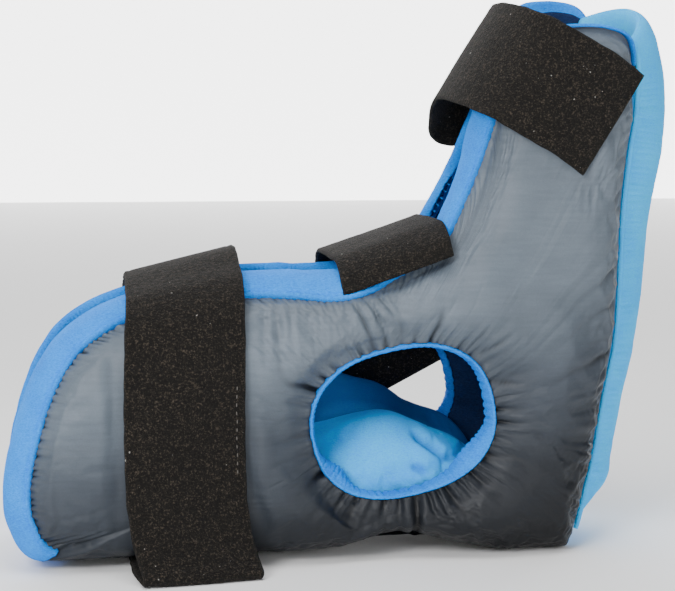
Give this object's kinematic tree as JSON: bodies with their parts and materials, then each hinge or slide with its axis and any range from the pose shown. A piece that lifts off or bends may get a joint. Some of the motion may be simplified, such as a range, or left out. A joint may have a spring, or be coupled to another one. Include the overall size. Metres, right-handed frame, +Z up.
{
  "type": "heel offloading boot",
  "caption": "Padded open-toe boot with a large opening at the heel on each side, a blue-bound front slit and broad loop-pile straps over forefoot, instep and calf.",
  "frame": {"origin": "on the floor, under the middle of the whole boot's box", "axes": "+Z up, -X towards the toe opening, +X towards the heel and spine, -Y the left panel"},
  "size_m": [0.3902, 0.1816, 0.3206],
  "materials": {
    "grey_cloth": "soft grey nylon taffeta over padding, satin, with fine puckers at the seams",
    "blue_knit": "sky-blue brushed jersey, matt, slightly mottled",
    "blue_lining": "brushed blue lining cloth, matt",
    "black_pile": "black loop pile, matt, finely speckled"
  },
  "bodies": {
    "root": {"side_panel_left": "grey_cloth", "lining_left": "blue_lining", "edge_binding_left": "blue_knit", "hole_binding_left": "blue_knit", "spine_piping_left": "blue_knit", "side_panel_right": "grey_cloth", "lining_right": "blue_lining", "edge_binding_right": "blue_knit", "hole_binding_right": "blue_knit", "spine_piping_right": "blue_knit", "sole_pad": "grey_cloth", "foot_cushion": "blue_lining", "heel_spine": "blue_knit", "toe_binding": "blue_knit", "forefoot_strap": "black_pile", "instep_strap": "black_pile", "calf_strap": "black_pile"}
  },
  "joints": []
}
